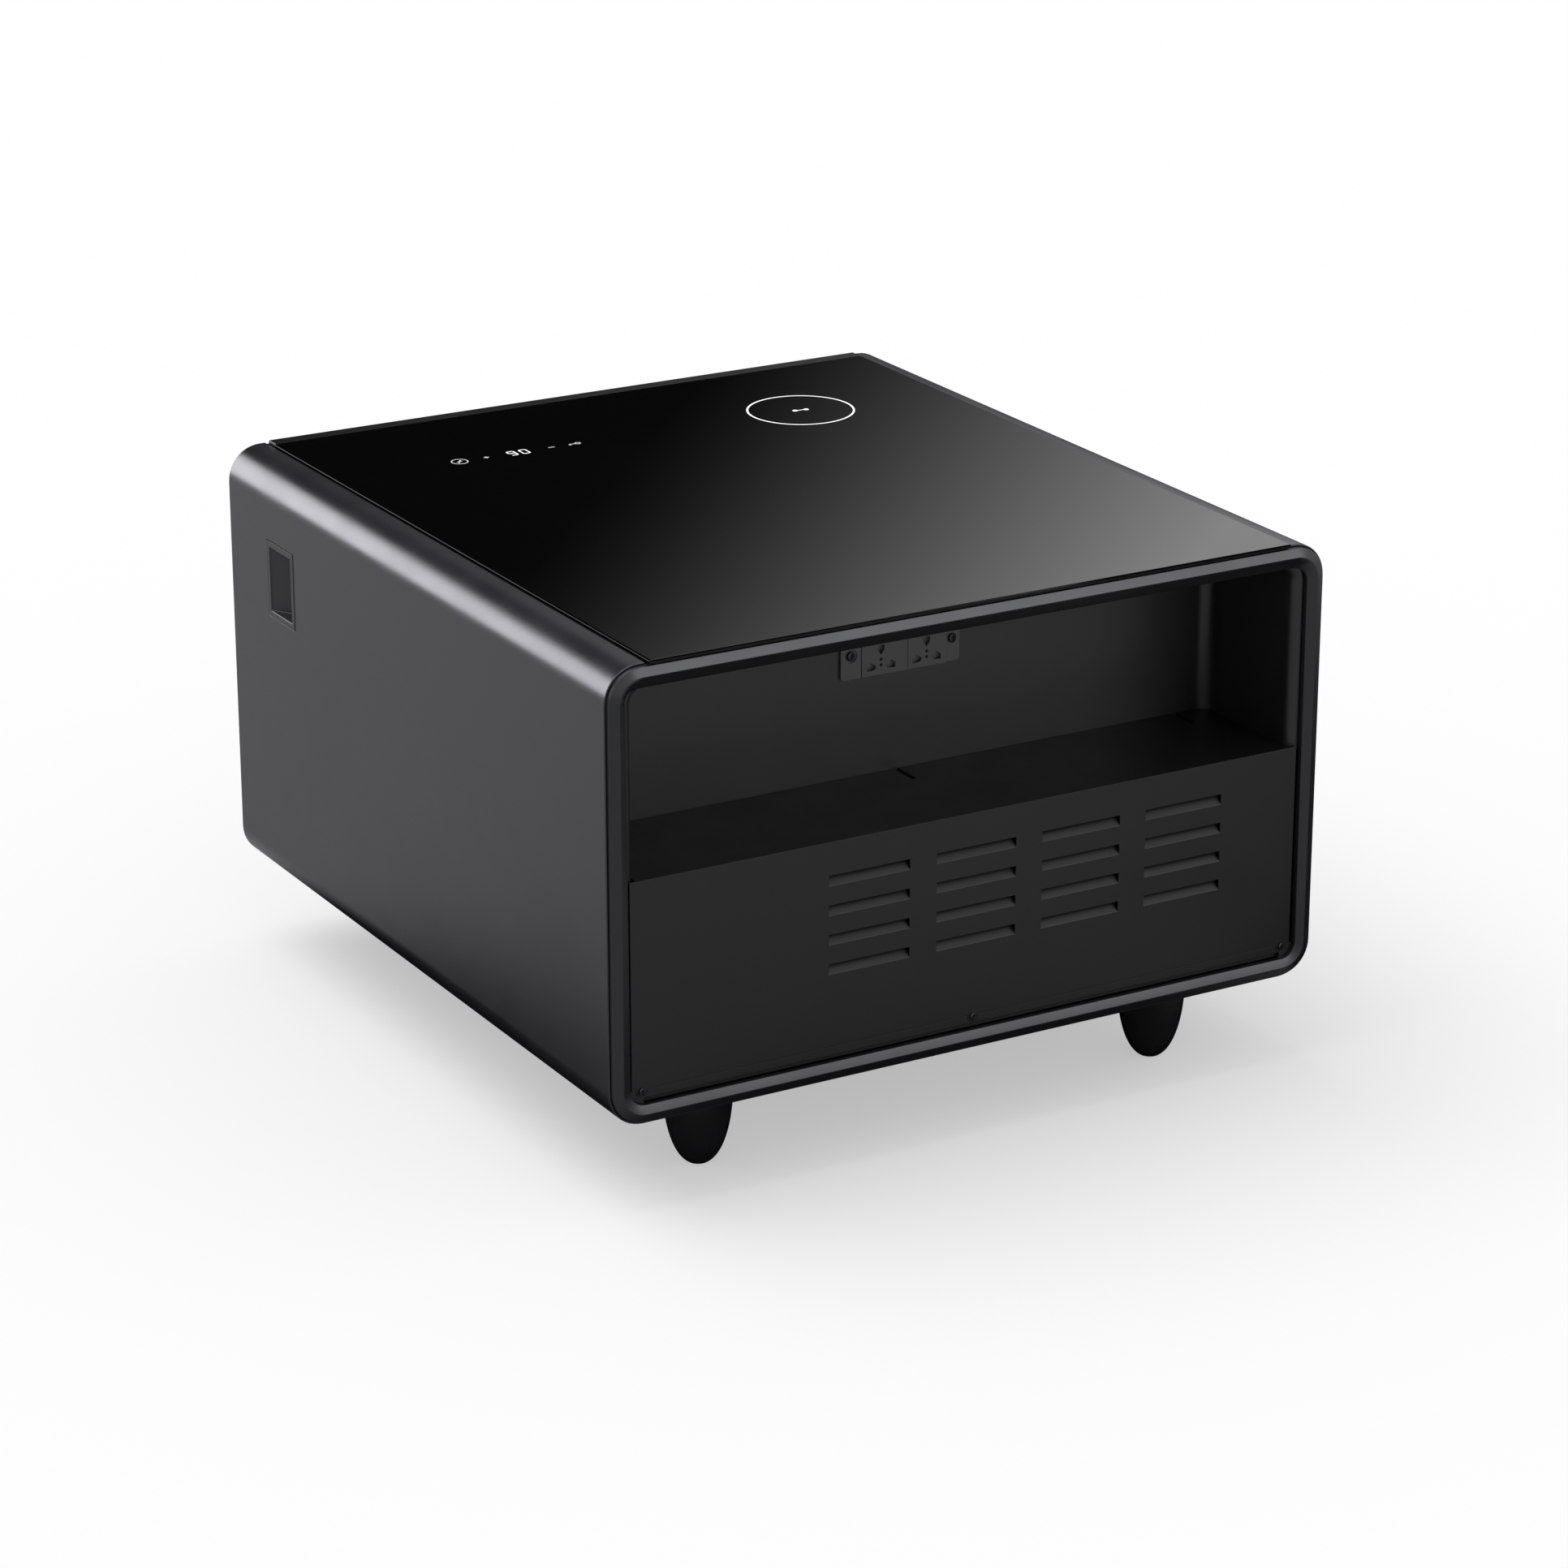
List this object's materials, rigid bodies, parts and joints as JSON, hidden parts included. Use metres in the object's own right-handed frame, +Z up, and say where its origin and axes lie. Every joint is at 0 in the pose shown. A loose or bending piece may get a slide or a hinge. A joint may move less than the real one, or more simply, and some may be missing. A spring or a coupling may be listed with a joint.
{
  "type": "refrigerator nightstand",
  "caption": "Low bedside cabinet with a glass top, a cold drawer at the front, an open socket niche and a louvred machine cover at the rear, on bullet feet.",
  "frame": {"origin": "on the floor under the centre of the cabinet", "axes": "+Z up, the drawer's front faces -Y, the louvred rear faces +Y, +X is the side with the compressor"},
  "size_m": [0.5768, 0.6114, 0.3955],
  "materials": {
    "gunmetal_paint": "satin",
    "dark_ring": "gloss",
    "black_glass": "gloss",
    "dark_trim": "satin",
    "tray_plastic": "matte",
    "circuit_board": "satin",
    "display": "gloss",
    "charger_plastic": "matte",
    "grip_plastic": "satin",
    "foam": "matte",
    "liner_plastic": "gloss",
    "niche_plastic": "satin",
    "shelf_plastic": "matte",
    "socket_plastic": "satin",
    "screw_steel": "satin",
    "box_plastic": "matte",
    "cover_steel": "matte",
    "sill_plastic": "matte",
    "galvanised_steel": "satin",
    "foot_plastic": "gloss",
    "compressor_paint": "gloss",
    "mount_rubber": "matte",
    "fin_aluminium": "satin",
    "copper": "satin",
    "fan_plastic": "satin",
    "white_plastic": "gloss",
    "inlet_plastic": "satin",
    "lamp": "matte",
    "runner_steel": "satin",
    "front_paint": "gloss",
    "rail_aluminium": "satin",
    "seal_rubber": "matte",
    "bin_plastic": "gloss"
  },
  "bodies": {
    "cabinet": {"outer_shell": "gunmetal_paint", "front_trim_ring": "dark_ring", "rear_trim_ring": "dark_ring", "glass_top": "black_glass", "glass_front_trim": "dark_trim", "top_tray": "tray_plastic", "touch_board": "circuit_board", "display_module": "display", "wireless_charger": "charger_plastic", "side_grip_left": "grip_plastic", "side_grip_right": "grip_plastic", "insulation": "foam", "cold_liner": "liner_plastic", "niche_liner": "niche_plastic", "niche_floor": "shelf_plastic", "socket_plate": "socket_plastic", "socket_module_1": "socket_plastic", "socket_module_2": "socket_plastic", "socket_screws": "screw_steel", "socket_back_box": "box_plastic", "rear_cover": "cover_steel", "rear_sill": "sill_plastic", "rear_cover_screws": "screw_steel", "bulkhead": "galvanised_steel", "base_plate": "galvanised_steel", "foot_plates": "galvanised_steel", "foot_rear_left": "foot_plastic", "foot_rear_right": "foot_plastic", "foot_front_left": "foot_plastic", "foot_front_right": "foot_plastic", "foot_studs": "screw_steel", "compressor": "compressor_paint", "compressor_grommets": "mount_rubber", "compressor_bolts": "screw_steel", "condenser_fins": "fin_aluminium", "condenser_tube": "copper", "condenser_fan_frame": "fan_plastic", "drip_tray": "box_plastic", "drain_tube": "box_plastic", "filter_dryer": "copper", "refrigerant_pipes": "copper", "power_board": "circuit_board", "mains_inlet": "inlet_plastic", "evaporator_fins": "fin_aluminium", "evaporator_tube": "fin_aluminium", "evaporator_cover": "white_plastic", "evaporator_fan_frame": "white_plastic", "led_lamp": "lamp", "runner_outer_rails": "runner_steel"},
    "drawer": {"drawer_front_panel": "front_paint", "drawer_grip_rail": "rail_aluminium", "drawer_foam": "foam", "drawer_inner_panel": "liner_plastic", "drawer_gasket": "seal_rubber", "drawer_bin": "bin_plastic", "runner_inner_rails": "runner_steel"},
    "runner_middle": {"runner_middle_rails": "runner_steel"},
    "condenser_fan": {"condenser_fan_rotor": "fan_plastic"},
    "evaporator_fan": {"evaporator_fan_rotor": "white_plastic"}
  },
  "joints": [
    {"name": "drawer_slide", "type": "slide", "parent": "cabinet", "child": "drawer", "axis": [0, -1, 0], "range_m": [0, 0.3]},
    {"name": "runner_middle_slide", "type": "slide", "parent": "cabinet", "child": "runner_middle", "axis": [0, -1, 0], "range_m": [0, 0.15]},
    {"name": "condenser_fan_spin", "type": "hinge", "parent": "cabinet", "child": "condenser_fan", "pos_m": [-0.1325, 0.2135, 0.1635], "axis": [0, 1, 0], "continuous": true},
    {"name": "evaporator_fan_spin", "type": "hinge", "parent": "cabinet", "child": "evaporator_fan", "pos_m": [0, 0.0817, 0.30715], "axis": [0, 1, 0], "continuous": true}
  ],
  "couplings": [
    {"joint": "runner_middle_slide", "follows": "drawer_slide", "ratio": 0.5}
  ]
}
